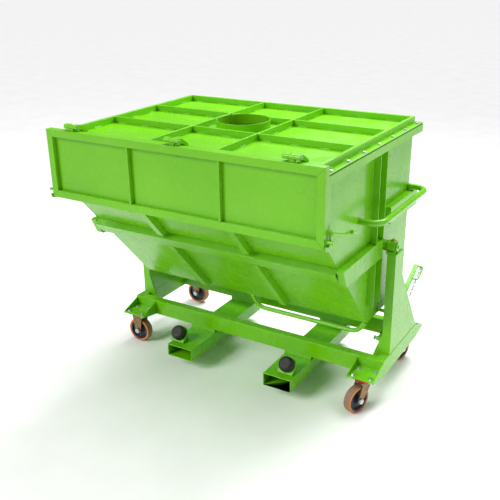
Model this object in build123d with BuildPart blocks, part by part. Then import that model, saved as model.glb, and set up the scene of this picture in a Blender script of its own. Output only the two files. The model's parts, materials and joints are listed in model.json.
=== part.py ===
from build123d import *

import math
import os

# Tipping waste container: a tub on end pivots, with a bolted lid and a hinged front flap, on a castor base.

os.makedirs("parts", exist_ok=True)

# ---------------------------------------------------------------- driving dimensions, mm
# Every place is given from the tub's own centre line, with the floor at z = 0. The row's
# origin is the middle of the whole footprint, which the tub's centre line stands off from.
TUB_X = -9.5
TUB_Y = -15.9

WALL = 3.0  # tube wall
SHEET = 4.0  # tub plate
GAP = 0.1  # half the weld gap between tubes that meet

TUB_HALF = 769.0  # end wall's outer face
TUB_REAR = 573.0  # rear wall's outer face
TUB_FRONT = -622.0  # front edge, just behind the flap
FLOOR_FRONT = 23.6  # where the floor turns up into the slope
TUB_LOW = 490.7  # underside of the floor
RIM_OUT = 809.0
RIM_REAR = 624.0
RIM_LOW = 1454.0
RIM_TOP = 1494.0
SILL_LOW = 1176.0
TUBE = 40.0  # square tube of the sill, the rim and the flap
SLOPE_ACROSS = 0.655  # the slope's direction, forward and up
SLOPE_UP = 0.755

LID_LOW = 1500.0
LID_HIGH = 1539.0
LID_FRONT = -594.0
LID_REAR = 594.0
COLLAR_R = 150.0
COLLAR_TOP = 1557.0
RIB_X = 205.0
RIB_Y = 196.0

FLAP_HALF = 821.0
FLAP_FRONT = -668.0
FLAP_BACK = -628.0
FLAP_LOW = 1174.0
FLAP_TOP = 1550.0
MULLION_X = 273.0
MULLION_WIDE = 10.0
PANEL_IN = 23.0  # how far the flap's panel stands behind its front
HINGE_Y = -648.0
HINGE_Z = 1573.0
HINGE_X = (-650.0, 0.0, 650.0)
HINGE_R = 12.0
HINGE_PIN_R = 6.0
RUN = 0.05  # running clearance of a pin in its hole

PIVOT_Y = 152.0
PIVOT_Z = 919.0
SHAFT_R = 17.5
BELT_LOW = 868.0
BELT_HIGH = 970.0
BELT_REAR = 101.0  # rear end of the lower belt and rear side of the end post
POST_FRONT = 3.0
UPPER_BELT_FRONT = 190.0
UPPER_BELT_LOW = 1025.0
UPPER_BELT_HIGH = 1121.0

BASE_HALF = 882.0
BASE_FRONT = 19.0
BASE_REAR = 549.0
BEAM_LOW = 178.0
BEAM_HIGH = 278.0
BEAM_WIDE = 50.0
BEAM_WALL = 4.0

STAND_IN = 832.0  # stanchion's inner face
STAND_FRONT = 108.0
STAND_TOP = 885.0
STAND_WALL = 6.0

POCKET_X = 343.0
POCKET_FRONT = -240.0
POCKET_REAR = 590.0
POCKET_LOW = 75.0
POCKET_HIGH = 155.0
POCKET_WIDE = 180.0
POCKET_WALL = 5.0

PLATE_X = 800.5  # castor plate centres
PLATE_FRONT_Y = -54.0
PLATE_REAR_Y = 617.0
PLATE_TOP = 215.6
PLATE_THICK = 8.0
PLATE_WIDE = 163.0
PLATE_DEEP = 136.0
WHEEL_R = 80.0
TREAD_WIDE = 46.0
HUB_R = 66.0
AXLE_R = 10.0
TRAIL = 60.0
TRAIL_TURN = 19.0  # degrees that each swivel castor trails from straight ahead
BOLT_X = 52.5
BOLT_Y = 40.0

LEVER_Y = 136.0
LEVER_Z = 351.0
LEVER_PIN_R = 8.0
LOCK_PIN_Y = 172.0
LOCK_PIN_Z = 512.0

LATCH_Y = -604.0
LATCH_Z = 1190.0
KEEPER_Z = 1208.0
KEEPER_R = 8.0


# ---------------------------------------------------------------- helpers
def at(x, y, z):
    """A point given from the tub's centre line, in the row's frame."""
    return Vector(TUB_X + x, TUB_Y + y, z)


def side(x):
    """An upright plane across the tub: its own x runs to the rear, its own y runs up."""
    return Plane(at(x, 0, 0), x_dir=(0, 1, 0), z_dir=(1, 0, 0))


def front(y):
    """An upright plane along the tub, facing forward: its own x runs right, its own y up."""
    return Plane(at(0, y, 0), x_dir=(1, 0, 0), z_dir=(0, -1, 0))


def flat(z):
    """A level plane, seen from above."""
    return Plane(at(0, 0, z))


def prism(plane, points, depth, mode=Mode.ADD):
    """A straight-sided piece: an outline on a plane, pushed along its normal."""
    with BuildSketch(plane) as outline:
        Polygon(*points, align=None)
    extrude(outline.sketch, amount=depth, dir=plane.z_dir, mode=mode)


def bar(x, y, z, mode=Mode.ADD):
    """A block between two values on each axis."""
    with Locations(at(sum(x) / 2, sum(y) / 2, sum(z) / 2)):
        Box(x[1] - x[0], y[1] - y[0], z[1] - z[0], mode=mode)


def tube_along_x(x, y, z, wall=WALL):
    """A rectangular tube with open ends, lying along X."""
    bar(x, y, z)
    bar(x, (y[0] + wall, y[1] - wall), (z[0] + wall, z[1] - wall), Mode.SUBTRACT)


def tube_along_y(x, y, z, wall=WALL):
    """A rectangular tube with open ends, lying along Y."""
    bar(x, y, z)
    bar((x[0] + wall, x[1] - wall), y, (z[0] + wall, z[1] - wall), Mode.SUBTRACT)


def tube_along_z(x, y, z, wall=WALL):
    """A rectangular tube with open ends, standing."""
    bar(x, y, z)
    bar((x[0] + wall, x[1] - wall), (y[0] + wall, y[1] - wall), z, Mode.SUBTRACT)


def rod(start, end, radius, mode=Mode.ADD):
    """A round bar between two points."""
    run = at(*end) - at(*start)
    with BuildSketch(Plane(at(*start), z_dir=run)) as section:
        Circle(radius)
    extrude(section.sketch, amount=run.length, dir=run.normalized(), mode=mode)


def hexagon(start, end, across_flats, mode=Mode.ADD):
    """A hexagonal head or nut between two points."""
    run = at(*end) - at(*start)
    with BuildSketch(Plane(at(*start), z_dir=run)) as section:
        RegularPolygon(across_flats / 2, 6, major_radius=False)
    extrude(section.sketch, amount=run.length, dir=run.normalized(), mode=mode)


def bent_rod(points, bend, radius):
    """A round bar along straight runs with rounded corners."""
    with BuildLine() as path:
        FilletPolyline(*[at(*p) for p in points], radius=bend)
    with BuildSketch(Plane(path.line @ 0, z_dir=path.line % 0)) as section:
        Circle(radius)
    sweep(section.sketch, path=path.line)


def between(a, b, part_way):
    """The point part of the way from a to b."""
    return (a[0] + (b[0] - a[0]) * part_way, a[1] + (b[1] - a[1]) * part_way)


def mitred_tube(plane, outer, inner, depth, shut=0.0):
    """A tube whose ends are cut to a mitre: its outer and inner edges, each as (start, end).

    The ends are open, except that shut closes the start with a plate of that thickness.
    """
    length = math.dist(outer[0], outer[1])
    wide = math.dist(*[(p[0], p[1]) for p in (outer[0], inner[0])])
    along = ((outer[1][0] - outer[0][0]) / length, (outer[1][1] - outer[0][1]) / length)
    across = abs((inner[0][0] - outer[0][0]) * along[1] - (inner[0][1] - outer[0][1]) * along[0])
    part = WALL / across

    def shifted(p, distance):
        return (p[0] + along[0] * distance, p[1] + along[1] * distance)

    start = (shifted(outer[0], GAP), shifted(inner[0], GAP))
    end = (shifted(outer[1], -GAP), shifted(inner[1], -GAP))
    prism(plane, (start[0], end[0], end[1], start[1]), depth)
    hollow_start = (shifted(start[0], shut), shifted(start[1], shut))
    hollow = (
        between(*hollow_start, part),
        between(*end, part),
        between(*end, 1 - part),
        between(*hollow_start, 1 - part),
    )
    prism(plane.offset(WALL), hollow, depth - 2 * WALL, Mode.SUBTRACT)


def save(piece, name):
    """Label a finished piece and write it."""
    piece.part.label = name
    export_step(piece.part, f"parts/{name}.step")


def slope_point(along, proud):
    """A point beside the slope in the side view: how far up it, and how far out from its face."""
    return (
        FLOOR_FRONT - SLOPE_ACROSS * along - SLOPE_UP * proud,
        TUB_LOW + SLOPE_UP * along - SLOPE_ACROSS * proud,
    )


def slope_y(z):
    """Where the slope's outer face is at a height."""
    return FLOOR_FRONT - (z - TUB_LOW) * SLOPE_ACROSS / SLOPE_UP


# ---------------------------------------------------------------- base frame
with BuildPart() as base_frame:
    for y in ((BASE_FRONT, BASE_FRONT + BEAM_WIDE), (BASE_REAR - BEAM_WIDE, BASE_REAR)):
        tube_along_x((-BASE_HALF + 5, BASE_HALF - 5), y, (BEAM_LOW, BEAM_HIGH), BEAM_WALL)
        for x in (-BASE_HALF, BASE_HALF - 5 + 2 * GAP):
            bar((x, x + 5 - 2 * GAP), y, (BEAM_LOW, BEAM_HIGH))
    inner = (BASE_FRONT + BEAM_WIDE + 2 * GAP, BASE_REAR - BEAM_WIDE - 2 * GAP)
    for x in ((-BASE_HALF, -BASE_HALF + BEAM_WIDE), (BASE_HALF - BEAM_WIDE, BASE_HALF)):
        tube_along_y(x, inner, (BEAM_LOW, BEAM_HIGH), BEAM_WALL)
save(base_frame, "base_frame")

for label, x in (("left", -POCKET_X), ("right", POCKET_X)):
    with BuildPart() as fork_pocket:
        half = POCKET_WIDE / 2
        tube_along_y(
            (x - half, x + half),
            (POCKET_FRONT, POCKET_REAR),
            (POCKET_LOW, POCKET_HIGH),
            POCKET_WALL,
        )
    save(fork_pocket, f"fork_pocket_{label}")

with BuildPart() as spacer_pads:
    for x in (-POCKET_X, POCKET_X):
        for y in ((BASE_FRONT, BASE_FRONT + BEAM_WIDE), (BASE_REAR - BEAM_WIDE, BASE_REAR)):
            tube_along_x(
                (x - POCKET_WIDE / 2, x + POCKET_WIDE / 2), y, (POCKET_HIGH, BEAM_LOW), 5.0
            )
save(spacer_pads, "spacer_pads")

# ---------------------------------------------------------------- buffers at the front of the fork pockets
BUFFER_FOOT = (-203.0, POCKET_HIGH)
BUFFER_TILT = math.radians(45)
BUFFER_LONG = 100.0
BUFFER_PLATE = 8.0
BUFFER_XS = (-395.0, 370.0)  # not a mirrored pair
BUFFER_DISC = 52.0  # radius of the plate behind a buffer
BUFFER_UP = 62.0  # buffer centre, up the plate from its foot


def buffer_point(along, proud):
    """A point beside the buffer plate in the side view: up the plate, and out from its face."""
    c, s = math.cos(BUFFER_TILT), math.sin(BUFFER_TILT)
    return (BUFFER_FOOT[0] + along * c - proud * s, BUFFER_FOOT[1] + along * s + proud * c)


def buffer_face(x):
    """The plane of a buffer plate's face, about the buffer's centre, with its y up the plate."""
    centre = buffer_point(BUFFER_UP, 0)
    tip = buffer_point(BUFFER_UP, 1)
    outward = (0, tip[0] - centre[0], tip[1] - centre[1])
    return Plane(at(x, *centre), x_dir=(1, 0, 0), z_dir=outward)


with BuildPart() as buffer_brackets:
    for x in BUFFER_XS:
        with BuildSketch(buffer_face(x)) as plate:
            Circle(BUFFER_DISC)
            with Locations((0, 4 - BUFFER_DISC)):
                Rectangle(2 * BUFFER_DISC - 6, 8)
            make_hull()
        extrude(plate.sketch, amount=-BUFFER_PLATE)
        for gusset in (x - 40, x + 34):
            top = buffer_point(BUFFER_LONG - 30, -BUFFER_PLATE - 2 * GAP)
            foot = buffer_point(BUFFER_PLATE + 14, -BUFFER_PLATE - 2 * GAP)
            prism(side(gusset), (foot, top, (top[0] + 22, POCKET_HIGH), (foot[0], POCKET_HIGH)), 6.0)
save(buffer_brackets, "buffer_brackets")

with BuildPart() as rubber_buffers:
    for x in BUFFER_XS:
        with BuildSketch(buffer_face(x)) as disc:
            Circle(45)
        extrude(disc.sketch, amount=42)
    fillet(rubber_buffers.edges().filter_by(GeomType.CIRCLE).group_by(Axis.Z)[-1], radius=18)
save(rubber_buffers, "rubber_buffers")

# ---------------------------------------------------------------- castor brackets, bolts and castors
with BuildPart() as castor_brackets:
    for x in (-PLATE_X, PLATE_X):
        for y, beam, way in ((PLATE_FRONT_Y, BASE_FRONT, -1), (PLATE_REAR_Y, BASE_REAR, 1)):
            near = beam + way * GAP
            far = beam + way * PLATE_DEEP
            edge = x - PLATE_WIDE / 2
            bar(
                (edge + 8.2, edge + PLATE_WIDE - 8.2),
                sorted((near, far)),
                (PLATE_TOP - PLATE_THICK, PLATE_TOP),
            )
            for inner_x in (edge, edge + PLATE_WIDE - 8):
                outline = (
                    (near, BEAM_LOW),
                    (near, BEAM_HIGH - 13),
                    (far, PLATE_TOP + 2),
                    (far, PLATE_TOP - PLATE_THICK - 4),
                )
                prism(side(inner_x), outline, 8.0)
    for x in (-PLATE_X, PLATE_X):
        for y in (PLATE_FRONT_Y, PLATE_REAR_Y):
            for bolt in GridLocations(2 * BOLT_X, 2 * BOLT_Y, 2, 2):
                centre = (x + bolt.position.X, y + bolt.position.Y)
                rod((*centre, PLATE_TOP - 20), (*centre, PLATE_TOP + 1), 6.5, Mode.SUBTRACT)
save(castor_brackets, "castor_brackets")

TOP_LOW = PLATE_TOP - PLATE_THICK - 6.0  # underside of a castor's own 6 mm top plate
TOP_HIGH = TOP_LOW + 6.0

with BuildPart() as castor_bolts:
    for x in (-PLATE_X, PLATE_X):
        for y in (PLATE_FRONT_Y, PLATE_REAR_Y):
            for bolt in GridLocations(2 * BOLT_X, 2 * BOLT_Y, 2, 2):
                centre = (x + bolt.position.X, y + bolt.position.Y)
                rod((*centre, TOP_LOW - 12), (*centre, PLATE_TOP), 6.0)
                rod((*centre, PLATE_TOP), (*centre, PLATE_TOP + 2.5), 12.0)
                hexagon((*centre, PLATE_TOP + 2.5), (*centre, PLATE_TOP + 10), 18)
                hexagon((*centre, TOP_LOW - 10), (*centre, TOP_LOW), 18)
save(castor_bolts, "castor_bolts")


def top_plate(x, y):
    """A castor's own plate, with its four bolt holes."""
    bar((x - 70, x + 70), (y - 55, y + 55), (TOP_LOW, TOP_HIGH))
    for bolt in GridLocations(2 * BOLT_X, 2 * BOLT_Y, 2, 2):
        centre = (x + bolt.position.X, y + bolt.position.Y)
        rod((*centre, TOP_LOW - 1), (*centre, TOP_HIGH + 1), 6.5, Mode.SUBTRACT)


with BuildPart() as fixed_forks:
    for y in (PLATE_FRONT_Y, PLATE_REAR_Y):
        top_plate(-PLATE_X, y)
        for cheek in (y - 33, y + 28):
            with BuildSketch(Plane(at(-PLATE_X, cheek + 5, 0), x_dir=(1, 0, 0), z_dir=(0, -1, 0))) as outline:
                with Locations((0, WHEEL_R)):
                    Circle(22)
                with Locations((0, TOP_LOW - 4)):
                    Rectangle(80, 8)
                make_hull()
                with Locations((0, WHEEL_R)):
                    Circle(AXLE_R, mode=Mode.SUBTRACT)
            extrude(outline.sketch, amount=5)
save(fixed_forks, "fixed_forks")


def axle(centre, way):
    """An axle bolt with its head and nut, through a wheel's centre along the unit vector way."""

    def off(distance):
        return (centre[0] + way[0] * distance, centre[1] + way[1] * distance, WHEEL_R)

    rod(off(-46), off(46), AXLE_R)
    hexagon(off(-45), off(-33.2), 30)
    hexagon(off(33.2), off(44), 30)


with BuildPart() as fixed_axles:
    for y in (PLATE_FRONT_Y, PLATE_REAR_Y):
        axle((-PLATE_X, y), (0, 1))
save(fixed_axles, "fixed_axles")

TURN = math.radians(TRAIL_TURN)
BACKWARD = (-math.sin(TURN), -math.cos(TURN))  # the way the swivel castors trail
SIDEWAYS = (math.cos(TURN), -math.sin(TURN))  # their axles' direction

WHEELS = {
    "front_left": ((-PLATE_X, PLATE_FRONT_Y), (0, 1)),
    "rear_left": ((-PLATE_X, PLATE_REAR_Y), (0, 1)),
    "front_right": ((PLATE_X + TRAIL * BACKWARD[0], PLATE_FRONT_Y + TRAIL * BACKWARD[1]), SIDEWAYS),
    "rear_right": ((PLATE_X + TRAIL * BACKWARD[0], PLATE_REAR_Y + TRAIL * BACKWARD[1]), SIDEWAYS),
}

with BuildPart() as swivel_top_plates:
    for y in (PLATE_FRONT_Y, PLATE_REAR_Y):
        top_plate(PLATE_X, y)
        rod((PLATE_X, y, TOP_LOW - 8.6), (PLATE_X, y, TOP_LOW), 30)
        rod((PLATE_X, y, TOP_LOW - 35), (PLATE_X, y, TOP_LOW), 8)
        rod((PLATE_X, y, TOP_LOW - 38), (PLATE_X, y, TOP_LOW - 32), 13)
save(swivel_top_plates, "swivel_top_plates")

CROWN_LOW = TOP_LOW - 31.6
CROWN_HIGH = TOP_LOW - 19.6

for label, y in (("front_right", PLATE_FRONT_Y), ("rear_right", PLATE_REAR_Y)):
    swivel_base = at(PLATE_X, y, 0)
    centre, way = WHEELS[label]
    with BuildPart() as swivel_fork:
        crown_low = swivel_base + Vector(0, 0, CROWN_LOW)
        with BuildSketch(Plane(crown_low, x_dir=(*BACKWARD, 0), z_dir=(0, 0, 1))) as s:
            with Locations((4, 0)):
                RectangleRounded(84, 66, 12)
            Circle(8 + RUN, mode=Mode.SUBTRACT)
        extrude(s.sketch, amount=CROWN_HIGH - CROWN_LOW)
        for cheek_at in (-28.0, 33.0):
            edge = Vector(SIDEWAYS[0] * cheek_at, SIDEWAYS[1] * cheek_at, 0)
            plane = Plane(swivel_base + edge, x_dir=(*BACKWARD, 0), z_dir=(-SIDEWAYS[0], -SIDEWAYS[1], 0))
            upward = plane.y_dir.Z
            with BuildSketch(plane) as cheek:
                with Locations((TRAIL, upward * WHEEL_R)):
                    Circle(22)
                with Locations((2, upward * (CROWN_LOW + 2))):
                    Rectangle(64, 8)
                make_hull()
                with Locations((TRAIL, upward * WHEEL_R)):
                    Circle(AXLE_R, mode=Mode.SUBTRACT)
            extrude(cheek.sketch, amount=5, dir=plane.z_dir)
    save(swivel_fork, f"swivel_fork_{label}")

    with BuildPart() as dust_ring:
        with BuildSketch(Plane(swivel_base + Vector(0, 0, CROWN_HIGH))) as s:
            Circle(46)
            Circle(31, mode=Mode.SUBTRACT)
        extrude(s.sketch, amount=11)
    save(dust_ring, f"dust_ring_{label}")

    with BuildPart() as swivel_axle:
        axle(centre, way)
    save(swivel_axle, f"axle_{label}")

for label, (centre, way) in WHEELS.items():
    middle = Plane(at(*centre, WHEEL_R), z_dir=(*way, 0))
    with BuildPart() as tread:
        with BuildSketch(middle.offset(-TREAD_WIDE / 2)) as s:
            Circle(WHEEL_R)
            Circle(HUB_R, mode=Mode.SUBTRACT)
        extrude(s.sketch, amount=TREAD_WIDE)
        rims = tread.edges().filter_by(GeomType.CIRCLE)
        fillet(rims.filter_by(lambda edge: edge.radius == WHEEL_R), 5)
    save(tread, f"tread_{label}")
    with BuildPart() as hub:
        for radius, half in ((HUB_R, 20.0), (24.0, 26.0)):
            with BuildSketch(middle.offset(-half)) as s:
                Circle(radius)
            extrude(s.sketch, amount=2 * half)
        for face in (-20.0, 8.0):
            with BuildSketch(middle.offset(face)) as s:
                Circle(HUB_R - 8)
                Circle(24, mode=Mode.SUBTRACT)
            extrude(s.sketch, amount=12, mode=Mode.SUBTRACT)
        with BuildSketch(middle.offset(-27)) as s:
            Circle(AXLE_R + RUN)
        extrude(s.sketch, amount=54, mode=Mode.SUBTRACT)
    save(hub, f"hub_{label}")

# ---------------------------------------------------------------- stanchions and pivot bearings
STAND_PROFILE = (
    (STAND_FRONT, BEAM_HIGH),
    (STAND_FRONT, STAND_TOP),
    (STAND_FRONT + 117, STAND_TOP),
    (STAND_FRONT + 132, STAND_TOP - 160),
    (BASE_REAR - 4, BEAM_HIGH),
)

for label, hand in (("left", -1), ("right", 1)):
    with BuildPart() as stanchion:
        low_x = min(hand * STAND_IN, hand * BASE_HALF)
        prism(side(low_x), STAND_PROFILE, BEAM_WIDE)
        with BuildSketch(side(low_x + STAND_WALL)) as hollow:
            Polygon(*STAND_PROFILE, align=None)
            offset(amount=-STAND_WALL, kind=Kind.INTERSECTION, mode=Mode.REPLACE)
        extrude(hollow.sketch, amount=BEAM_WIDE - 2 * STAND_WALL, mode=Mode.SUBTRACT)
        bar(
            sorted((hand * (STAND_IN + STAND_WALL), hand * (BASE_HALF - STAND_WALL))),
            (STAND_FRONT + 40, STAND_FRONT + 320),
            (BEAM_HIGH, BEAM_HIGH + STAND_WALL + 1),
            Mode.SUBTRACT,
        )
        flare = (
            (hand * STAND_IN, 400.0),
            (hand * (STAND_IN - 42), BEAM_HIGH),
            (hand * (STAND_IN - 52), BEAM_HIGH - 32),
            (hand * STAND_IN, BEAM_HIGH - 32),
        )
        prism(front(STAND_FRONT + 8), flare, 8.0)
    save(stanchion, f"stanchion_{label}")

BEARING_R = 34.0
BEARING_IN = 822.0
BEARING_OUT = 869.0

with BuildPart() as pivot_bearings:
    for hand in (-1, 1):
        low_x = min(hand * BEARING_IN, hand * BEARING_OUT)
        with BuildSketch(side(low_x)) as block:
            with Locations((PIVOT_Y, PIVOT_Z)):
                Circle(BEARING_R)
            with Locations((PIVOT_Y, STAND_TOP + 6)):
                Rectangle(84, 12)
            with Locations((PIVOT_Y, STAND_TOP + 14)):
                Rectangle(58, 28)
            with Locations((PIVOT_Y, PIVOT_Z)):
                Circle(SHAFT_R + RUN, mode=Mode.SUBTRACT)
        extrude(block.sketch, amount=BEARING_OUT - BEARING_IN, dir=(1, 0, 0))
save(pivot_bearings, "pivot_bearings")

with BuildPart() as grease_nipples:
    for hand in (-1, 1):
        x = hand * (BEARING_IN + BEARING_OUT) / 2
        rod((x, PIVOT_Y, PIVOT_Z + BEARING_R), (x, PIVOT_Y, PIVOT_Z + BEARING_R + 7), 10)
        rod((x, PIVOT_Y, PIVOT_Z + BEARING_R + 7), (x, PIVOT_Y, PIVOT_Z + BEARING_R + 10), 4)
save(grease_nipples, "grease_nipples")

with BuildPart() as pivot_shafts:
    for hand in (-1, 1):
        rod((hand * TUB_HALF, PIVOT_Y, PIVOT_Z), (hand * (TUB_HALF + 6), PIVOT_Y, PIVOT_Z), 48)
        rod((hand * TUB_HALF, PIVOT_Y, PIVOT_Z), (hand * 818, PIVOT_Y, PIVOT_Z), 30)
        rod((hand * TUB_HALF, PIVOT_Y, PIVOT_Z), (hand * 872, PIVOT_Y, PIVOT_Z), SHAFT_R)
        rod((hand * 872, PIVOT_Y, PIVOT_Z), (hand * 876, PIVOT_Y, PIVOT_Z), 26)
        hexagon((hand * 876, PIVOT_Y, PIVOT_Z), (hand * 882, PIVOT_Y, PIVOT_Z), 17)
save(pivot_shafts, "pivot_shafts")

# ---------------------------------------------------------------- tub
SILL_BACK = TUB_FRONT + TUBE
SLOPE_TOP = TUB_LOW + (FLOOR_FRONT - SILL_BACK) * SLOPE_UP / SLOPE_ACROSS
INNER_HALF = TUB_HALF - SHEET - GAP
WALL_OUTLINE = (
    (FLOOR_FRONT, TUB_LOW),
    (TUB_REAR, TUB_LOW),
    (TUB_REAR, RIM_TOP),
    (TUB_FRONT, RIM_TOP),
    (TUB_FRONT, SILL_LOW),
    (slope_y(SILL_LOW), SILL_LOW),
)

for label, x in (("left", -TUB_HALF), ("right", TUB_HALF - SHEET)):
    with BuildPart() as end_wall:
        prism(side(x), WALL_OUTLINE, SHEET)
    save(end_wall, f"end_wall_{label}")

with BuildPart() as slope_plate:
    outline = (
        (FLOOR_FRONT, TUB_LOW),
        (SILL_BACK + 2 * GAP, SLOPE_TOP),
        (SILL_BACK + 2 * GAP, SLOPE_TOP + SHEET / SLOPE_ACROSS),
        (FLOOR_FRONT + SHEET / SLOPE_UP, TUB_LOW),
    )
    prism(side(-INNER_HALF), outline, 2 * INNER_HALF)
save(slope_plate, "slope_plate")

with BuildPart() as floor_plate:
    bar(
        (-INNER_HALF, INNER_HALF),
        (FLOOR_FRONT + SHEET / SLOPE_UP + 2 * GAP, TUB_REAR),
        (TUB_LOW, TUB_LOW + SHEET),
    )
save(floor_plate, "floor_plate")

with BuildPart() as rear_wall:
    bar(
        (-INNER_HALF, INNER_HALF),
        (TUB_REAR - SHEET, TUB_REAR),
        (TUB_LOW + SHEET + 2 * GAP, RIM_TOP),
    )
save(rear_wall, "rear_wall")

BOLT_LINE = 794.0
BOLT_R = 5.0
SIDE_BOLTS = [(-560.0 + i * 1120.0 / 6) for i in range(7)]
REAR_BOLTS = [(-700.0 + i * 200.0) for i in range(8)]
LID_BOLTS = [(hand * BOLT_LINE, y) for hand in (-1, 1) for y in SIDE_BOLTS]
LID_BOLTS += [(x, RIM_REAR - 15) for x in REAR_BOLTS]

with BuildPart() as rim_frame:
    corner_out, corner_in = (RIM_OUT, RIM_REAR), (TUB_HALF + GAP, TUB_REAR + GAP)
    for hand in (-1, 1):
        mitred_tube(
            flat(RIM_LOW),
            ((hand * RIM_OUT, TUB_FRONT), (hand * corner_out[0], corner_out[1])),
            ((hand * corner_in[0], TUB_FRONT), (hand * corner_in[0], corner_in[1])),
            RIM_TOP - RIM_LOW,
            shut=WALL,
        )
    mitred_tube(
        flat(RIM_LOW),
        ((-corner_out[0], corner_out[1]), corner_out),
        ((-corner_in[0], corner_in[1]), corner_in),
        RIM_TOP - RIM_LOW,
    )
    for x, y in LID_BOLTS:
        rod((x, y, RIM_TOP - WALL - 1), (x, y, RIM_TOP + 1), BOLT_R + 0.5, Mode.SUBTRACT)
save(rim_frame, "rim_frame")

with BuildPart() as sill_tube:
    tube_along_x((-INNER_HALF, INNER_HALF), (TUB_FRONT, SILL_BACK), (SILL_LOW, SILL_LOW + TUBE))
save(sill_tube, "sill_tube")

with BuildPart() as belts:
    for hand in (-1, 1):
        low_x = min(hand * (TUB_HALF + GAP), hand * RIM_OUT)
        deep = TUBE - GAP
        outline = (
            (BELT_REAR, BELT_LOW),
            (BELT_REAR, BELT_HIGH),
            (-400.0, BELT_HIGH),
            (-414.0, BELT_HIGH - 5),
            (-372.0, BELT_LOW + 10),
            (-358.0, BELT_LOW),
        )
        prism(side(low_x), outline, deep)
        with BuildSketch(side(low_x + WALL)) as hollow:
            Polygon(*outline, align=None)
            offset(amount=-WALL, kind=Kind.INTERSECTION, mode=Mode.REPLACE)
        extrude(hollow.sketch, amount=deep - 2 * WALL, mode=Mode.SUBTRACT)
        bar(
            (low_x + WALL, low_x + deep - WALL),
            (BELT_REAR - WALL - 1, BELT_REAR + 1),
            (BELT_LOW + 12, BELT_HIGH - 12),
            Mode.SUBTRACT,
        )
    slope_belt = (slope_point(548, GAP), slope_point(552, 38), slope_point(634, 38), slope_point(640, GAP))
    prism(side(-TUB_HALF), slope_belt, 2 * TUB_HALF)
    hollow_belt = (slope_point(552, WALL), slope_point(555, 35), slope_point(631, 35), slope_point(636, WALL))
    prism(side(-TUB_HALF), hollow_belt, 2 * TUB_HALF, Mode.SUBTRACT)
    out, rear = RIM_OUT, RIM_REAR - 14
    for hand in (-1, 1):
        mitred_tube(
            flat(UPPER_BELT_LOW),
            ((hand * out, UPPER_BELT_FRONT), (hand * out, rear)),
            ((hand * (TUB_HALF + GAP), UPPER_BELT_FRONT), (hand * (TUB_HALF + GAP), TUB_REAR + GAP)),
            UPPER_BELT_HIGH - UPPER_BELT_LOW,
            shut=WALL,
        )
    mitred_tube(
        flat(UPPER_BELT_LOW),
        ((-out, rear), (out, rear)),
        ((-TUB_HALF - GAP, TUB_REAR + GAP), (TUB_HALF + GAP, TUB_REAR + GAP)),
        UPPER_BELT_HIGH - UPPER_BELT_LOW,
    )
save(belts, "belts")

with BuildPart() as end_posts:
    for hand in (-1, 1):
        for low, high in ((600.0, BELT_LOW - 2 * GAP), (BELT_HIGH + 2 * GAP, RIM_LOW - 2 * GAP)):
            x = sorted((hand * (TUB_HALF + GAP), hand * RIM_OUT))
            bar(x, (POST_FRONT, BELT_REAR), (low, high))
            hollow_x = sorted((hand * (TUB_HALF + 5), hand * (RIM_OUT + 1)))
            bar(hollow_x, (POST_FRONT + 6, BELT_REAR - 6), (low, high), Mode.SUBTRACT)
save(end_posts, "end_posts")

with BuildPart() as corner_posts:
    for hand in (-1, 1):
        x = sorted((hand * (TUB_HALF + GAP), hand * RIM_OUT))
        tube_along_z(x, (TUB_FRONT, SILL_BACK), (SILL_LOW, RIM_LOW - 2 * GAP))
save(corner_posts, "corner_posts")

with BuildPart() as slope_ribs:
    for x in (-MULLION_X, MULLION_X):
        for low, high in ((30.0, 545.0), (643.0, 900.0)):
            outline = (
                slope_point(low, GAP),
                slope_point(low + 25, 36),
                slope_point(high - 3, 36),
                slope_point(high, GAP),
            )
            prism(side(x - 20), outline, 40.0)
            inner = (
                slope_point(low + 5, WALL),
                slope_point(low + 28, 33),
                slope_point(high + 1, 33),
                slope_point(high + 1, WALL),
            )
            prism(side(x - 17), inner, 34.0, Mode.SUBTRACT)
save(slope_ribs, "slope_ribs")

HANDLE_Z = 1143.0
HANDLE_OUT = 884.0
with BuildPart() as push_handle:
    path = (
        (TUB_HALF, -152, HANDLE_Z),
        (HANDLE_OUT, -152, HANDLE_Z),
        (HANDLE_OUT, 553, HANDLE_Z),
        (TUB_HALF, 553, HANDLE_Z),
    )
    bent_rod(path, 72, 17)
save(push_handle, "push_handle")

with BuildPart() as tipping_bar:
    low = 415.0
    y = FLOOR_FRONT + 14
    high = TUB_LOW - 7
    path = ((24, y, high), (70, y, low), (709, y, low), (755, y, high))
    bent_rod(path, 78, 13)
save(tipping_bar, "tipping_bar")

# ---------------------------------------------------------------- lid
with BuildPart() as lid_sheet:
    bar((-RIM_OUT, RIM_OUT), (TUB_FRONT, RIM_REAR), (LID_LOW, LID_LOW + SHEET))
    rod((0, 0, LID_LOW - 1), (0, 0, LID_LOW + SHEET + 1), COLLAR_R - SHEET, Mode.SUBTRACT)
    for x, y in LID_BOLTS:
        rod((x, y, LID_LOW - 1), (x, y, LID_LOW + SHEET + 1), BOLT_R + 0.5, Mode.SUBTRACT)
save(lid_sheet, "lid_sheet")

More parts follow.
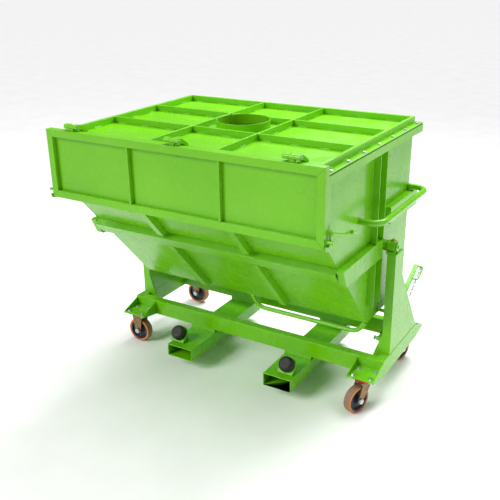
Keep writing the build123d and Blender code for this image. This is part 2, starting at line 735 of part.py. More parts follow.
RAIL_LOW = LID_LOW + SHEET
RAIL_WIDE = 20.0
RIB_WIDE = 12.0
with BuildPart() as lid_frame:
    rail_high = LID_HIGH - RAIL_LOW
    x_in, y_in = TUB_HALF - RAIL_WIDE, LID_REAR - RAIL_WIDE
    corners_out = ((-TUB_HALF, LID_FRONT), (TUB_HALF, LID_FRONT), (TUB_HALF, LID_REAR), (-TUB_HALF, LID_REAR))
    corners_in = ((-x_in, -y_in), (x_in, -y_in), (x_in, y_in), (-x_in, y_in))
    for i in range(4):
        j = (i + 1) % 4
        mitred_tube(
            flat(RAIL_LOW), (corners_out[i], corners_out[j]), (corners_in[i], corners_in[j]), rail_high
        )
    half = RIB_WIDE / 2
    y_end = y_in - 2 * GAP
    for x in (-RIB_X, RIB_X):
        tube_along_y((x - half, x + half), (-y_end, y_end), (RAIL_LOW, LID_HIGH))
    x_end = x_in - 2 * GAP
    for y in (-RIB_Y, RIB_Y):
        for x in (
            (-x_end, -RIB_X - half - 2 * GAP),
            (-RIB_X + half + 2 * GAP, RIB_X - half - 2 * GAP),
            (RIB_X + half + 2 * GAP, x_end),
        ):
            tube_along_x(x, (y - half, y + half), (RAIL_LOW, LID_HIGH))
save(lid_frame, "lid_frame")

with BuildPart() as filling_collar:
    rod((0, 0, RAIL_LOW), (0, 0, COLLAR_TOP), COLLAR_R)
    rod((0, 0, RAIL_LOW), (0, 0, COLLAR_TOP), COLLAR_R - SHEET, Mode.SUBTRACT)
save(filling_collar, "filling_collar")

with BuildPart() as lid_seal:
    bar((-RIM_OUT + 3, RIM_OUT - 3), (TUB_FRONT + 2, RIM_REAR - 3), (RIM_TOP, LID_LOW))
    bar((-TUB_HALF - 3, TUB_HALF + 3), (TUB_FRONT + 25, TUB_REAR + 3), (RIM_TOP, LID_LOW), Mode.SUBTRACT)
    for x, y in LID_BOLTS:
        rod((x, y, RIM_TOP - 1), (x, y, LID_LOW + 1), BOLT_R + 0.5, Mode.SUBTRACT)
save(lid_seal, "lid_seal")

with BuildPart() as lid_bolts:
    for x, y in LID_BOLTS:
        rod((x, y, RIM_TOP - 14), (x, y, RAIL_LOW), BOLT_R)
        rod((x, y, RAIL_LOW), (x, y, RAIL_LOW + 2), 10)
        hexagon((x, y, RAIL_LOW + 2), (x, y, RAIL_LOW + 8.4), 17)
save(lid_bolts, "lid_bolts")

# ---------------------------------------------------------------- front flap and its hinges
with BuildPart() as flap_frame:
    plane = front(FLAP_BACK)
    outer = (
        (-FLAP_HALF, FLAP_LOW),
        (FLAP_HALF, FLAP_LOW),
        (FLAP_HALF, FLAP_TOP),
        (-FLAP_HALF, FLAP_TOP),
    )
    x_in, low_in, high_in = FLAP_HALF - TUBE, FLAP_LOW + TUBE, FLAP_TOP - TUBE
    inner = ((-x_in, low_in), (x_in, low_in), (x_in, high_in), (-x_in, high_in))
    for i in range(4):
        j = (i + 1) % 4
        mitred_tube(plane, (outer[i], outer[j]), (inner[i], inner[j]), TUBE)
    for x in (-MULLION_X, MULLION_X):
        bar(
            (x - MULLION_WIDE / 2, x + MULLION_WIDE / 2),
            (FLAP_FRONT, FLAP_FRONT + PANEL_IN - GAP),
            (low_in + 2 * GAP, high_in - 2 * GAP),
        )
save(flap_frame, "flap_frame")

with BuildPart() as flap_panels:
    bar(
        (-x_in + GAP, x_in - GAP),
        (FLAP_FRONT + PANEL_IN, FLAP_FRONT + PANEL_IN + SHEET),
        (low_in + GAP, high_in - GAP),
    )
save(flap_panels, "flap_panels")

KNUCKLE = 30.0
with BuildPart() as hinge_brackets:
    for middle in HINGE_X:
        for low_x in (middle - 1.5 * KNUCKLE, middle + 0.5 * KNUCKLE):
            outline = (
                (HINGE_Y, HINGE_Z + HINGE_R),
                (HINGE_Y + 16, HINGE_Z + HINGE_R),
                (LID_FRONT + 17, LID_HIGH + 10),
                (LID_FRONT + 17, LID_HIGH),
                (LID_FRONT, LID_HIGH),
                (HINGE_Y + 20, FLAP_TOP + 8),
                (HINGE_Y, HINGE_Z - HINGE_R),
            )
            prism(side(low_x), outline, KNUCKLE)
            rod((low_x, HINGE_Y, HINGE_Z), (low_x + KNUCKLE, HINGE_Y, HINGE_Z), HINGE_R)
        ends = [(middle + end * 1.5 * KNUCKLE, HINGE_Y, HINGE_Z) for end in (-1, 1)]
        rod(*ends, HINGE_PIN_R, Mode.SUBTRACT)
save(hinge_brackets, "hinge_brackets")

with BuildPart() as hinge_pins:
    for middle in HINGE_X:
        rod(
            (middle - 1.5 * KNUCKLE - 3, HINGE_Y, HINGE_Z),
            (middle + 1.5 * KNUCKLE + 3, HINGE_Y, HINGE_Z),
            HINGE_PIN_R,
        )
save(hinge_pins, "hinge_pins")

with BuildPart() as hinge_straps:
    for middle in HINGE_X:
        x = (middle - KNUCKLE / 2 + 0.8, middle + KNUCKLE / 2 - 0.8)
        bar(x, (HINGE_Y - 6, HINGE_Y + 6), (FLAP_TOP, HINGE_Z))
        rod((x[0], HINGE_Y, HINGE_Z), (x[1], HINGE_Y, HINGE_Z), HINGE_R)
        rod((x[0], HINGE_Y, HINGE_Z), (x[1], HINGE_Y, HINGE_Z), HINGE_PIN_R + RUN, Mode.SUBTRACT)
save(hinge_straps, "hinge_straps")

with BuildPart() as keeper_pins:
    for hand in (-1, 1):
        rod((hand * FLAP_HALF, HINGE_Y, KEEPER_Z), (hand * (FLAP_HALF + 3), HINGE_Y, KEEPER_Z), 13)
        rod((hand * FLAP_HALF, HINGE_Y, KEEPER_Z), (hand * (FLAP_HALF + 38), HINGE_Y, KEEPER_Z), KEEPER_R)
save(keeper_pins, "keeper_pins")

# ---------------------------------------------------------------- flap latches
LATCH_IN = 826.0
LATCH_THICK = 8.0

for label, hand in (("left", -1), ("right", 1)):
    low_x = min(hand * LATCH_IN, hand * (LATCH_IN + LATCH_THICK))
    with BuildPart() as latch:
        hook = (
            (LATCH_Y + 16, LATCH_Z + 12),
            (LATCH_Y - 8, LATCH_Z + 66),
            (LATCH_Y - 34, LATCH_Z + 62),
            (LATCH_Y - 14, LATCH_Z + 14),
            (LATCH_Y - 26, LATCH_Z + 2),
            (LATCH_Y - 44, LATCH_Z - 6),
            (LATCH_Y - 52, LATCH_Z - 4),
            (LATCH_Y - 60, LATCH_Z + 2),
            (LATCH_Y - 70, LATCH_Z - 4),
            (LATCH_Y - 64, LATCH_Z - 22),
            (LATCH_Y - 40, LATCH_Z - 28),
            (LATCH_Y - 10, LATCH_Z - 20),
            (LATCH_Y + 14, LATCH_Z - 12),
        )
        prism(side(low_x), hook, LATCH_THICK)
        rod((low_x, LATCH_Y, LATCH_Z), (low_x + LATCH_THICK, LATCH_Y, LATCH_Z), 20)
        handle_x = hand * (LATCH_IN + LATCH_THICK + 7)
        path = (
            (handle_x, LATCH_Y - 30, LATCH_Z + 56),
            (handle_x, -504, 1198),
            (handle_x, -424, 1188),
            (handle_x + hand * 32, -424, 1188),
            (handle_x + hand * 32, -486, 1214),
        )
        bent_rod(path, 14, 9)
        high_x = low_x + LATCH_THICK
        rod((low_x - 1, LATCH_Y, LATCH_Z), (high_x + 1, LATCH_Y, LATCH_Z), 8 + RUN, Mode.SUBTRACT)
    save(latch, f"latch_{label}")

with BuildPart() as tub_pins:
    for hand in (-1, 1):
        rod((hand * RIM_OUT, LATCH_Y, LATCH_Z), (hand * (LATCH_IN - 1), LATCH_Y, LATCH_Z), 16)
        rod((hand * RIM_OUT, LATCH_Y, LATCH_Z), (hand * (LATCH_IN + LATCH_THICK + 2), LATCH_Y, LATCH_Z), 8)
    rod((TUB_HALF, LOCK_PIN_Y, LOCK_PIN_Z), (TUB_HALF + 43, LOCK_PIN_Y, LOCK_PIN_Z), 10)
    rod((TUB_HALF, LOCK_PIN_Y, LOCK_PIN_Z), (TUB_HALF + 5, LOCK_PIN_Y, LOCK_PIN_Z), 19)
save(tub_pins, "tub_pins")

# ---------------------------------------------------------------- tipping lock
LEVER_IN = 796.0
LEVER_OUT = 826.0

with BuildPart() as lever_pivot:
    bar((STAND_IN - 4, STAND_IN), (LEVER_Y - 13, LEVER_Y + 30), (LEVER_Z - 30, LEVER_Z + 30))
    rod((774, LEVER_Y, LEVER_Z), (STAND_IN - 4, LEVER_Y, LEVER_Z), LEVER_PIN_R)
    rod((774, LEVER_Y, LEVER_Z), (779, LEVER_Y, LEVER_Z), 13)
save(lever_pivot, "lever_pivot")

LEVER_TOP = [(LEVER_Y, LEVER_Z + 5), (430.0, 462.0), (694.0, 606.0)]
with BuildPart() as lock_lever:
    lower = [(y + 5, z - 10) for y, z in reversed(LEVER_TOP)]
    prism(side(LEVER_IN), LEVER_TOP + lower, LEVER_OUT - LEVER_IN)
    rod((LEVER_IN - 4, LEVER_Y, LEVER_Z), (LEVER_OUT, LEVER_Y, LEVER_Z), 14)
    finger = (
        (LEVER_Y + 62, LEVER_Z + 22),
        (LEVER_Y + 78, LEVER_Z + 146),
        (LEVER_Y + 96, LEVER_Z + 146),
        (LEVER_Y + 104, LEVER_Z + 38),
    )
    prism(side(LEVER_IN), finger, 10.0)
    rod((LEVER_IN - 5, LEVER_Y, LEVER_Z), (LEVER_OUT + 1, LEVER_Y, LEVER_Z), LEVER_PIN_R + RUN, Mode.SUBTRACT)
    grip = (
        (LEVER_OUT - 4, 687, 598),
        (LEVER_OUT + 32, 687, 598),
        (LEVER_OUT + 32, 598, 549),
        (LEVER_OUT - 4, 598, 549),
    )
    bent_rod(grip, 14, 5)
save(lock_lever, "lock_lever")

LINK_WIRE = 2.8
LINK_STRAIGHT = 9.0  # half of a link's straight side, along the wire's centre line
LINK_BEND = 6.6
LINK_PITCH = 2 * (LINK_STRAIGHT + LINK_BEND - LINK_WIRE) - 0.3
LINK_COUNT = 8
RING_R = 14.0
CHAIN_X = 842.0


def link(centre, lengthways, broad):
    """One chain link: a closed oval of round wire about its centre."""
    with BuildSketch(Plane(centre, x_dir=lengthways, z_dir=lengthways.cross(broad))) as oval:
        SlotCenterToCenter(2 * LINK_STRAIGHT, 2 * LINK_BEND)
    with BuildSketch(Plane(centre + broad * LINK_BEND, z_dir=lengthways)) as wire:
        Circle(LINK_WIRE)
    sweep(wire.sketch, path=oval.sketch.faces()[0].outer_wire())


with BuildPart() as lever_chain:
    grip_bar = at(CHAIN_X, grip[0][1], grip[0][2])
    ring_centre = grip_bar + Vector(0, 2, -6)
    with BuildSketch(Plane(ring_centre + Vector(0, RING_R, 0), x_dir=(0, 1, 0), z_dir=(0, 0, 1))) as wire:
        Circle(LINK_WIRE)
    revolve(wire.sketch, axis=Axis(ring_centre, (1, 0, 0)), revolution_arc=360)
    down = (at(CHAIN_X, 484, 452) - ring_centre).normalized()
    first = ring_centre + down * (RING_R + LINK_STRAIGHT + LINK_BEND - 2 * LINK_WIRE - 0.3)
    across = down.cross(Vector(1, 0, 0))
    for i in range(LINK_COUNT):
        link(first + down * (i * LINK_PITCH), down, Vector(1, 0, 0) if i % 2 == 0 else across)
save(lever_chain, "lever_chain")
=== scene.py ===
"""The looks of a tipping waste container: rounded steelwork, weld beads, paint, zinc, rubber and castors."""

import json
import math

import bmesh
import bpy
from mathutils import Matrix, Vector, noise

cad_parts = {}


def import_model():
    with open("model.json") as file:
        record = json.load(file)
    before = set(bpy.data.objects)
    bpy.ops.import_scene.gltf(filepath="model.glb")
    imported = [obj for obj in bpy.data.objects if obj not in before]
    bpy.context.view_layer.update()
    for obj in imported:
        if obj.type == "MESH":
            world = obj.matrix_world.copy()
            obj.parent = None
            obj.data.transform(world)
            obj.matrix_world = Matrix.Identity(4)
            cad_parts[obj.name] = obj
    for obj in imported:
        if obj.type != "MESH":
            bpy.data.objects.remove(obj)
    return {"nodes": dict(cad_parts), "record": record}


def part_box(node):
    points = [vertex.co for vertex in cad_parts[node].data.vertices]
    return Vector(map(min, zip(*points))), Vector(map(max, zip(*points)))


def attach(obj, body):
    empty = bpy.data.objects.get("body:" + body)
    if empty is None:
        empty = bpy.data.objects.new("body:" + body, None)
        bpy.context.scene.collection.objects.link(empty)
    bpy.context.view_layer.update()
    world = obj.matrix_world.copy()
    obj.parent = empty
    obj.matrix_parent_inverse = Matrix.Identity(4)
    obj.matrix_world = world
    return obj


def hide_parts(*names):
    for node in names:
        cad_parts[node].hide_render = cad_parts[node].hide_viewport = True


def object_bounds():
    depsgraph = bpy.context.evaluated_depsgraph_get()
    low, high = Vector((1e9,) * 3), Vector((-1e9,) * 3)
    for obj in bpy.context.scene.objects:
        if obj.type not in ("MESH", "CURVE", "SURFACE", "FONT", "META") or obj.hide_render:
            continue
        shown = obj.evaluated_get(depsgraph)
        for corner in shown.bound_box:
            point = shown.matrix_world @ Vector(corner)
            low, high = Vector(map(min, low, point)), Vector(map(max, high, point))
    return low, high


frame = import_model()
CAD_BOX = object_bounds()
RECORD = frame["record"]
NODES = frame["nodes"]
BODY_OF = {node: body for body, nodes in RECORD["behaviour"]["bodies"].items() for node in nodes}
SLOT_OF = {part["node"]: part["material_slot"] for part in RECORD["subparts"]}
MM = 0.001


# ---------------------------------------------------------------- materials
class Shader:
    """A Principled material whose colour, roughness and bump are built from procedural nodes."""

    def __init__(self, name, **constants):
        self.material = bpy.data.materials.new(name)
        self.material.use_nodes = True
        self.tree = self.material.node_tree
        self.surface = self.tree.nodes["Principled BSDF"]
        for socket, value in constants.items():
            self.surface.inputs[socket.replace("_", " ")].default_value = value
        self.place = self.tree.nodes.new("ShaderNodeTexCoord").outputs["Object"]

    def node(self, kind, **inputs):
        made = self.tree.nodes.new("ShaderNode" + kind)
        for key, value in inputs.items():
            if key.startswith("set_"):
                setattr(made, key[4:], value)
                continue
            key = int(key[1:]) if key[0] == "i" and key[1:].isdigit() else key.replace("_", " ")
            if isinstance(value, bpy.types.NodeSocket):
                self.tree.links.new(value, made.inputs[key])
            else:
                made.inputs[key].default_value = value
        return made

    def noise(self, scale, detail=3.0, roughness=0.5, stretch=None):
        """Noise at so many lumps to a metre, as a 0 to 1 value."""
        place = self.place
        if stretch:
            place = self.node("Mapping", Vector=place, Scale=stretch).outputs[0]
        made = self.node("TexNoise", Vector=place, Scale=scale, Detail=detail, Roughness=roughness)
        return made.outputs["Fac"]

    def step(self, value, low, high, bottom=0.0, top=1.0):
        """value from low to high, spread over bottom to top and held there."""
        made = self.node("MapRange", i0=value, i1=low, i2=high, i3=bottom, i4=top)
        made.clamp = True
        return made.outputs[0]

    def mix(self, share, first, second):
        """A colour between two colours."""
        made = self.node("Mix", set_data_type="RGBA")
        for socket, value in ((0, share), (6, first), (7, second)):
            if isinstance(value, bpy.types.NodeSocket):
                self.tree.links.new(value, made.inputs[socket])
            else:
                made.inputs[socket].default_value = value if socket == 0 else (*value, 1.0)
        return made.outputs[2]

    def maths(self, how, first, second):
        return self.node("Math", set_operation=how, i0=first, i1=second).outputs[0]

    def bump(self, height, distance, strength=1.0, under=None):
        made = self.node("Bump", Height=height, Distance=distance, Strength=strength)
        if under is not None:
            self.tree.links.new(under, made.inputs["Normal"])
        return made.outputs[0]

    def use(self, colour=None, roughness=None, normal=None):
        wanted = {"Base Color": colour, "Roughness": roughness, "Normal": normal}
        for socket, value in wanted.items():
            if value is not None:
                self.tree.links.new(value, self.surface.inputs[socket])
        return self.material


PAINT_DEEP = (0.132, 0.455, 0.003)
PAINT_LIGHT = (0.160, 0.515, 0.005)


def green_paint():
    """Thick enamel: slightly uneven colour, orange peel, sheet waviness, rubbed and dusty spots."""
    s = Shader("green_paint", Coat_Weight=0.12, Coat_Roughness=0.10, Specular_IOR_Level=0.35)
    broad = s.noise(1.7, 2.0)
    fine = s.noise(38.0, 4.0, 0.6)
    colour = s.mix(s.step(broad, 0.3, 0.7), PAINT_DEEP, PAINT_LIGHT)
    dust = s.maths("MULTIPLY", s.step(s.noise(5.0, 5.0, 0.65), 0.52, 0.8), s.step(fine, 0.35, 0.75))
    colour = s.mix(s.maths("MULTIPLY", dust, 0.16), colour, (0.42, 0.47, 0.30))
    chips = s.step(s.noise(210.0, 2.0, 0.4), 0.765, 0.785)
    rare = s.step(s.noise(9.0, 2.0), 0.55, 0.68)
    chips = s.maths("MULTIPLY", chips, rare)
    colour = s.mix(s.maths("MULTIPLY", chips, 0.75), colour, (0.06, 0.10, 0.03))
    scratch = s.step(s.noise(26.0, 3.0, 0.5, stretch=(0.12, 1.0, 2.6)), 0.715, 0.735)
    scratch = s.maths("MULTIPLY", scratch, s.step(s.noise(3.1, 1.0), 0.5, 0.62))
    colour = s.mix(s.maths("MULTIPLY", scratch, 0.35), colour, (0.36, 0.66, 0.16))
    gloss = s.step(s.noise(6.0, 4.0, 0.6), 0.3, 0.75, 0.20, 0.34)
    rough = s.maths("ADD", gloss, s.maths("MULTIPLY", dust, 0.25))
    wavy = s.bump(s.noise(4.2, 1.0), 0.0035, 0.55)
    peel = s.bump(s.noise(420.0, 2.0, 0.5), 0.00022, 0.5, wavy)
    worn = s.bump(s.maths("SUBTRACT", 1.0, chips), 0.00015, 0.6, peel)
    return s.use(colour, rough, worn)


def zinc():
    """Bright zinc with faint spangle, dulled in patches."""
    s = Shader("zinc_fasteners", Metallic=1.0)
    spangle = s.node("TexVoronoi", Vector=s.place, Scale=260.0).outputs["Color"]
    grey = s.node("RGBToBW", Color=spangle).outputs[0]
    dull = s.step(s.noise(60.0, 4.0, 0.6), 0.4, 0.7)
    colour = s.mix(grey, (0.50, 0.52, 0.55), (0.72, 0.74, 0.76))
    colour = s.mix(s.maths("MULTIPLY", dull, 0.45), colour, (0.34, 0.34, 0.33))
    rough = s.step(dull, 0.0, 1.0, 0.24, 0.52)
    return s.use(colour, rough, s.bump(s.noise(500.0, 3.0), 0.0001, 0.4))


def yellow_zinc():
    """Chromated zinc plate: straw and pinkish patches over metal."""
    s = Shader("yellow_zinc", Metallic=0.9)
    patch = s.noise(22.0, 3.0, 0.6)
    colour = s.mix(s.step(patch, 0.35, 0.65), (0.16, 0.10, 0.055), (0.26, 0.17, 0.09))
    colour = s.mix(s.step(s.noise(55.0, 3.0), 0.5, 0.8, 0.0, 0.6), colour, (0.42, 0.30, 0.16))
    rough = s.step(s.noise(80.0, 4.0, 0.6), 0.3, 0.7, 0.28, 0.5)
    return s.use(colour, rough, s.bump(s.noise(300.0, 3.0), 0.00015, 0.5))


def black_rubber():
    """Moulded rubber with grey dust caught on it."""
    s = Shader("black_rubber", Specular_IOR_Level=0.35)
    dust = s.step(s.noise(32.0, 6.0, 0.7), 0.45, 0.8)
    colour = s.mix(s.maths("MULTIPLY", dust, 0.35), (0.010, 0.010, 0.011), (0.10, 0.10, 0.09))
    rough = s.step(dust, 0.0, 1.0, 0.48, 0.8)
    return s.use(colour, rough, s.bump(s.noise(240.0, 5.0, 0.6), 0.0004, 0.6))


def polyurethane():
    """Amber polyurethane tread: darker and scuffed where it rolls."""
    s = Shader("polyurethane", Subsurface_Weight=0.12, Subsurface_Radius=(0.006, 0.003, 0.001))
    scuff = s.step(s.noise(45.0, 5.0, 0.65), 0.42, 0.72)
    colour = s.mix(s.step(s.noise(9.0, 2.0), 0.3, 0.7), (0.62, 0.15, 0.012), (0.72, 0.22, 0.02))
    colour = s.mix(s.maths("MULTIPLY", scuff, 0.35), colour, (0.16, 0.075, 0.03))
    rolling = s.node("Attribute", set_attribute_name="rolling").outputs["Fac"]
    grime = s.mix(s.step(s.noise(70.0, 5.0, 0.7), 0.3, 0.7), (0.17, 0.10, 0.075), (0.24, 0.17, 0.13))
    colour = s.mix(s.maths("MULTIPLY", rolling, 0.85), colour, grime)
    rough = s.step(s.maths("ADD", scuff, rolling), 0.0, 1.6, 0.28, 0.7)
    return s.use(colour, rough, s.bump(s.noise(160.0, 4.0), 0.0003, 0.6))


def wheel_centre():
    """Cast wheel centre with a thin bluish paint."""
    s = Shader("wheel_centre", Metallic=0.35)
    blot = s.step(s.noise(40.0, 5.0, 0.65), 0.4, 0.75)
    colour = s.mix(blot, (0.012, 0.020, 0.045), (0.07, 0.10, 0.15))
    rough = s.step(s.noise(70.0, 4.0), 0.3, 0.7, 0.35, 0.6)
    return s.use(colour, rough, s.bump(s.noise(220.0, 4.0, 0.6), 0.0004, 0.7))


def red_plastic():
    """Moulded red dust ring, faintly mottled."""
    s = Shader("red_plastic", Coat_Weight=0.1)
    colour = s.mix(s.step(s.noise(50.0, 4.0, 0.6), 0.35, 0.7), (0.45, 0.012, 0.010), (0.60, 0.03, 0.02))
    rough = s.step(s.noise(90.0, 4.0), 0.3, 0.7, 0.32, 0.5)
    return s.use(colour, rough, s.bump(s.noise(400.0, 3.0), 0.0001, 0.5))


def nipple_cap():
    """Orange-brown caps and nipples, greasy."""
    s = Shader("nipple_cap", Metallic=0.2)
    colour = s.mix(s.step(s.noise(150.0, 4.0), 0.4, 0.7), (0.62, 0.20, 0.03), (0.40, 0.11, 0.02))
    rough = s.step(s.noise(120.0, 3.0), 0.3, 0.7, 0.25, 0.5)
    return s.use(colour, rough, s.bump(s.noise(500.0, 3.0), 0.0001, 0.5))


MATERIALS = {
    "green_paint": green_paint(),
    "zinc_fasteners": zinc(),
    "yellow_zinc": yellow_zinc(),
    "black_rubber": black_rubber(),
    "polyurethane": polyurethane(),
    "wheel_centre": wheel_centre(),
    "red_plastic": red_plastic(),
    "nipple_cap": nipple_cap(),
}


# ---------------------------------------------------------------- pieces
def finish_piece(name, bm, body, slot, replaced=(), smooth=40.0):
    """Turns a bmesh into a piece of the object: its material and its body, with the CAD nodes it replaces
    hidden.
    """
    mesh = bpy.data.meshes.new(name)
    bm.to_mesh(mesh)
    bm.free()
    mesh.shade_smooth()
    mesh.set_sharp_from_angle(angle=math.radians(smooth))
    piece = bpy.data.objects.new(name, mesh)
    bpy.context.scene.collection.objects.link(piece)
    mesh.materials.append(MATERIALS[slot])
    even = piece.modifiers.new("even_normals", "WEIGHTED_NORMAL")
    even.keep_sharp = True
    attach(piece, body)
    if replaced:
        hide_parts(*replaced)
    return piece


SHARP = 33.0  # degrees between faces above which an edge is rounded


def rounded(node, width, segments):
    """A CAD node with its flat faces joined up and its edges rounded, as folded and welded steel has."""
    bm = bmesh.new()
    bm.from_mesh(NODES[node].data)
    bm.transform(NODES[node].matrix_world)
    bmesh.ops.remove_doubles(bm, verts=bm.verts, dist=2e-6)
    bmesh.ops.dissolve_degenerate(bm, edges=bm.edges, dist=1e-6)
    bmesh.ops.dissolve_limit(bm, angle_limit=math.radians(0.6), verts=bm.verts, edges=bm.edges)
    limit = math.radians(SHARP)
    edges = [e for e in bm.edges if len(e.link_faces) == 2 and e.calc_face_angle(0.0) > limit]
    if edges:
        bmesh.ops.bevel(
            bm,
            geom=edges,
            offset=width,
            offset_type="OFFSET",
            segments=segments,
            profile=0.5,
            affect="EDGES",
            clamp_overlap=True,
        )
    return finish_piece(node + "_piece", bm, BODY_OF[node], SLOT_OF[node], replaced=(node,))


SIDE_FACING = 0.6  # a face that leans more than this along the axle is a wheel's side


def mark_rolling(piece, label):
    """Marks the faces of a tread that roll on the floor, so that they can be dirtied."""
    joint = next(j for j in RECORD["behaviour"]["joints"] if j["name"] == f"wheel_{label}_roll")
    axis = Vector(joint["axis"]).normalized()
    mark = piece.data.attributes.new("rolling", "FLOAT", "FACE")
    for polygon in piece.data.polygons:
        mark.data[polygon.index].value = 1.0 if abs(polygon.normal.dot(axis)) < SIDE_FACING else 0.0


WELD_SIDES = 8
WELD_STEP = 2.2 * MM  # between the rings of a bead
WELD_RIPPLE = 6.5 * MM


def weld(name, node, runs, radius, stitch=None):
    """Rippled weld beads along straight runs: whole, or in stitches of a length and a pitch."""
    bm = bmesh.new()
    for start, end in runs:
        start, end = Vector(start), Vector(end)
        along = (end - start).normalized()
        across = along.orthogonal().normalized()
        other = along.cross(across)
        length = (end - start).length
        long, pitch = stitch or (length, length + 1.0)
        first = 0.0
        while first + 0.5 * long < length:
            last = min(first + long, length)
            steps = max(3, int((last - first) / WELD_STEP))
            rings = []
            for k in range(steps + 1):
                t = first + (last - first) * k / steps
                point = start + along * t
                ripple = abs(math.sin(math.pi * t / WELD_RIPPLE))
                swell = 0.86 + 0.14 * ripple + 0.16 * noise.noise(point * 130.0)
                taper = min(1.0, 0.35 + 0.65 * min(k, steps - k) / 2.0)
                size = radius * swell * taper
                ring = []
                for i in range(WELD_SIDES):
                    turn = 2 * math.pi * i / WELD_SIDES
                    offset = across * math.cos(turn) + other * math.sin(turn)
                    ring.append(bm.verts.new(point + offset * size))
                rings.append(ring)
            for one, two in zip(rings, rings[1:]):
                for i in range(WELD_SIDES):
                    j = (i + 1) % WELD_SIDES
                    bm.faces.new((one[i], one[j], two[j], two[i]))
            bm.faces.new(rings[0][::-1])
            bm.faces.new(rings[-1])
            first += pitch
    bmesh.ops.recalc_face_normals(bm, faces=bm.faces)
    return finish_piece(name, bm, BODY_OF[node], "green_paint", smooth=70.0)


TUBES = (
    "base_frame fork_pocket_left fork_pocket_right spacer_pads rim_frame sill_tube belts corner_posts "
    "slope_ribs lid_frame flap_frame"
).split()
PLATES = (
    "buffer_brackets castor_brackets stanchion_left stanchion_right end_wall_left end_wall_right slope_plate "
    "floor_plate rear_wall end_posts lid_sheet flap_panels filling_collar hinge_brackets hinge_straps "
    "latch_left latch_right lever_pivot lock_lever pivot_bearings pivot_shafts tub_pins keeper_pins "
    "fixed_forks swivel_top_plates swivel_fork_front_right swivel_fork_rear_right lid_seal"
).split()
ROUND = (
    "push_handle tipping_bar lever_chain rubber_buffers hinge_pins castor_bolts lid_bolts "
    "grease_nipples fixed_axles axle_front_right axle_rear_right dust_ring_front_right dust_ring_rear_right"
).split()

for nodes, width, segments in ((TUBES, 2.6 * MM, 3), (PLATES, 1.1 * MM, 2), (ROUND, 0.7 * MM, 2)):
    for node in nodes:
        rounded(node, width, segments)
for wheel in ("front_left", "rear_left", "front_right", "rear_right"):
    mark_rolling(rounded("tread_" + wheel, 1.0 * MM, 2), wheel)
    rounded("hub_" + wheel, 1.5 * MM, 2)


# ---------------------------------------------------------------- welds
LOW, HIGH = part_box("lid_frame")
CENTRE = (LOW + HIGH) / 2
RIB_X = 0.205
RIB_Y = 0.196
RIB_HALF = 0.006
RAIL_WIDE = 0.020
RUN_SHORT = 0.030  # from a run's end to the crossing rail
STITCH = (0.060, 0.165)  # length and pitch
LID_WELD = 3.4 * MM
POST_WELD = 3.0 * MM
POST_WELD_LOW = 0.98
CREASE_WELD = 2.6 * MM
CREASE_Y = (0.108, 0.545)  # from the tub's centre line
CREASE_Z = 0.278

inner_x = (HIGH.x - LOW.x) / 2 - RAIL_WIDE
inner_y = (HIGH.y - LOW.y) / 2 - RAIL_WIDE
foot = LOW.z + 1.0 * MM


def lid_place(x, y):
    """A point at the foot of the lid's rails, from the middle of the lid's frame."""
    return (CENTRE.x + x, CENTRE.y + y, foot)


def run_along_x(start, end, y):
    return (lid_place(start + RUN_SHORT, y), lid_place(end - RUN_SHORT, y))


def run_along_y(x):
    return (lid_place(x, -inner_y + RUN_SHORT), lid_place(x, inner_y - RUN_SHORT))


def both_sides(place):
    """The two sides of a rib and of its twin across the middle."""
    return (-place - RIB_HALF, -place + RIB_HALF, place - RIB_HALF, place + RIB_HALF)


lid_runs = [run_along_y(x) for x in both_sides(RIB_X)]
for y in both_sides(RIB_Y):
    for start, end in ((-inner_x, -RIB_X), (-RIB_X, RIB_X), (RIB_X, inner_x)):
        lid_runs.append(run_along_x(start, end, y))
lid_runs += [run_along_x(-inner_x, inner_x, y) for y in (-inner_y, inner_y)]
lid_runs += [run_along_y(x) for x in (-inner_x, inner_x, inner_x + RAIL_WIDE)]
weld("lid_stitches", "lid_frame", lid_runs, LID_WELD, STITCH)

post_low, post_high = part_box("end_posts")
wall_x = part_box("end_wall_right")[1].x
post_top = post_high.z - 0.01
post_runs = [((wall_x, y, POST_WELD_LOW), (wall_x, y, post_top)) for y in (post_low.y, post_high.y)]
weld("post_beads", "end_posts", post_runs, POST_WELD)

stand_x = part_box("stanchion_right")[1].x
crease = tuple((stand_x, CENTRE.y + y, CREASE_Z) for y in CREASE_Y)
weld("stanchion_crease", "stanchion_right", [crease], CREASE_WELD)


# ---------------------------------------------------------------- stage, light and camera
FLOOR_HALF = 120.0


def stage():
    """A pale floor under the object."""
    bm = bmesh.new()
    bmesh.ops.create_grid(bm, x_segments=1, y_segments=1, size=FLOOR_HALF)
    mesh = bpy.data.meshes.new("floor")
    bm.to_mesh(mesh)
    bm.free()
    floor = bpy.data.objects.new("floor", mesh)
    bpy.context.scene.collection.objects.link(floor)
    s = Shader("floor", Roughness=0.75, Specular_IOR_Level=0.2)
    colour = s.mix(s.step(s.noise(3.0, 3.0), 0.3, 0.7), (0.90, 0.90, 0.90), (0.94, 0.94, 0.94))
    mesh.materials.append(s.use(colour))


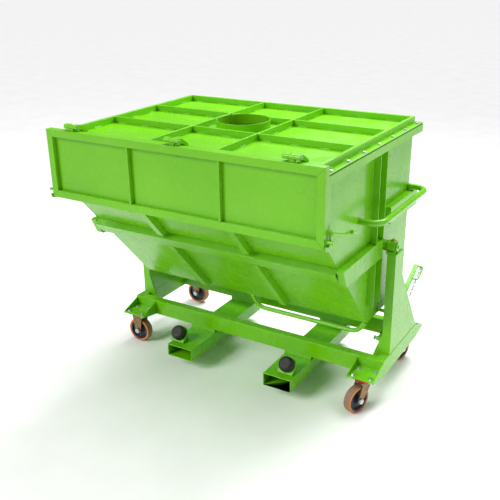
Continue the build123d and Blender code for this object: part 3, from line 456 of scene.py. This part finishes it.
def soft_light(name, place, aim, size, watts):
    """A soft box light at a place, facing a point."""
    lamp = bpy.data.lights.new(name, "AREA")
    lamp.shape = "RECTANGLE"
    lamp.size, lamp.size_y = size
    lamp.energy = watts
    holder = bpy.data.objects.new(name, lamp)
    holder.location = place
    holder.rotation_euler = (Vector(aim) - Vector(place)).to_track_quat("-Z", "Y").to_euler()
    bpy.context.scene.collection.objects.link(holder)


def soft_sun(name, place, aim, strength, spread):
    """A far lamp from one side, spread over an angle so that its shadows are soft."""
    lamp = bpy.data.lights.new(name, "SUN")
    lamp.energy = strength
    lamp.angle = math.radians(spread)
    holder = bpy.data.objects.new(name, lamp)
    holder.rotation_euler = (Vector(aim) - Vector(place)).to_track_quat("-Z", "Y").to_euler()
    bpy.context.scene.collection.objects.link(holder)


def world(strength):
    """An even white surround."""
    sky = bpy.data.worlds.new("studio")
    sky.use_nodes = True
    back = sky.node_tree.nodes["Background"]
    back.inputs["Color"].default_value = (1.0, 1.0, 1.0, 1.0)
    back.inputs["Strength"].default_value = strength
    bpy.context.scene.world = sky


def camera(place, azimuth, elevation, roll, lens):
    """A camera at a place, looking along an azimuth and down an elevation, turned by a small roll."""
    a, e, r = (math.radians(v) for v in (azimuth, elevation, roll))
    back = Vector((math.sin(a) * math.cos(e), -math.cos(a) * math.cos(e), math.sin(e)))
    right = Vector((math.cos(a), math.sin(a), 0.0))
    up = back.cross(right)
    right, up = right * math.cos(r) + up * math.sin(r), up * math.cos(r) - right * math.sin(r)
    data = bpy.data.cameras.new("camera")
    data.lens = lens
    data.sensor_width = 36.0
    data.clip_end = 200.0
    holder = bpy.data.objects.new("camera", data)
    turn = Matrix((right, up, back)).transposed().to_4x4()
    holder.matrix_world = Matrix.Translation(place) @ turn
    bpy.context.scene.collection.objects.link(holder)
    bpy.context.scene.camera = holder


stage()
bpy.context.scene.view_settings.view_transform = "Standard"
world(0.16)
middle = (Vector(CAD_BOX[0]) + Vector(CAD_BOX[1])) / 2
soft_sun("key", (-2.6, -4.2, 4.2), middle, 2.15, 25)
soft_sun("overhead", (0.3, 0.4, 6.0), (0.0, 0.0, 0.0), 1.5, 50)
soft_light("top", (0.4, 2.2, 4.2), middle, (3.6, 2.4), 260)
soft_light("side", (4.4, -0.6, 2.6), middle, (2.4, 2.4), 28)
camera((2.0848, -3.3826, 2.3695), 31.5, 21.8, -0.8, 52.3)
